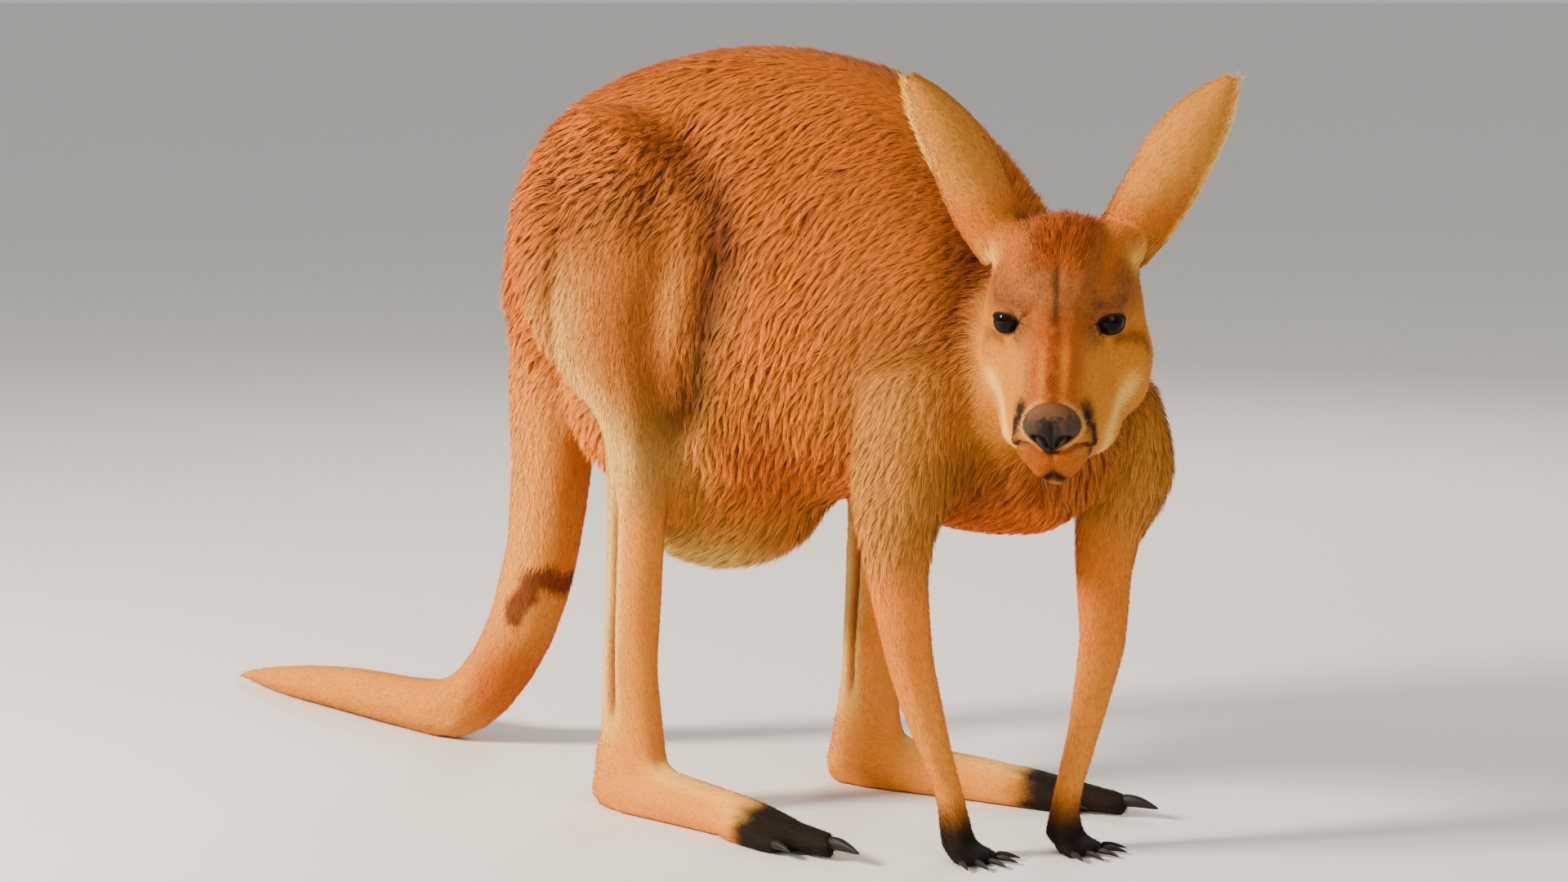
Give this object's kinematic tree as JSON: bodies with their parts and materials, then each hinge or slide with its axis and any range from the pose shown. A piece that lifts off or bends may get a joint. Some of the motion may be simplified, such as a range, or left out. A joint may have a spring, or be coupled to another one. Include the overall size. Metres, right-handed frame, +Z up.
{
  "type": "red kangaroo",
  "caption": "Adult female red kangaroo, life-size still model, feeding with hands and feet on the ground, tail trailing behind and head turned to look round.",
  "frame": {"origin": "centre of the bounding box at floor level, under the hind part of the belly", "axes": "+Z up; the animal's trunk faces -Y and its tail runs towards +Y; +X is the animal's own left side"},
  "size_m": [0.379, 1.3614, 0.7166],
  "materials": {
    "coat": "rust-orange to grey-brown woolly fur, matt",
    "pale_coat": "cream to pale orange short fur, matt",
    "dark_coat": "black-brown short fur of the hands, matt",
    "eye": "wet dark eye, glossy",
    "nose": "moist grey-black skin, satin",
    "claw": "dark horn, satin"
  },
  "bodies": {
    "root": {"breast": "coat", "claw_left_fifth_toe": "claw", "claw_left_finger_1": "claw", "claw_left_finger_2": "claw", "claw_left_finger_3": "claw", "claw_left_finger_4": "claw", "claw_left_finger_5": "claw", "claw_left_fourth_toe": "claw", "claw_left_second_toe": "claw", "claw_left_third_toe": "claw", "claw_right_fifth_toe": "claw", "claw_right_finger_1": "claw", "claw_right_finger_2": "claw", "claw_right_finger_3": "claw", "claw_right_finger_4": "claw", "claw_right_finger_5": "claw", "claw_right_fourth_toe": "claw", "claw_right_second_toe": "claw", "claw_right_third_toe": "claw", "ear_left": "coat", "ear_right": "coat", "eye_left": "eye", "eye_right": "eye", "foot_left": "pale_coat", "foot_right": "pale_coat", "forearm_left": "pale_coat", "forearm_right": "pale_coat", "hand_left": "dark_coat", "hand_right": "dark_coat", "head": "coat", "loin": "coat", "neck": "coat", "nose_pad": "nose", "pouch": "pale_coat", "rump": "coat", "shank_left": "pale_coat", "shank_right": "pale_coat", "tail_middle": "pale_coat", "tail_root": "coat", "tail_tip": "pale_coat", "thigh_left": "coat", "thigh_right": "coat", "upper_arm_left": "coat", "upper_arm_right": "coat"}
  },
  "joints": []
}
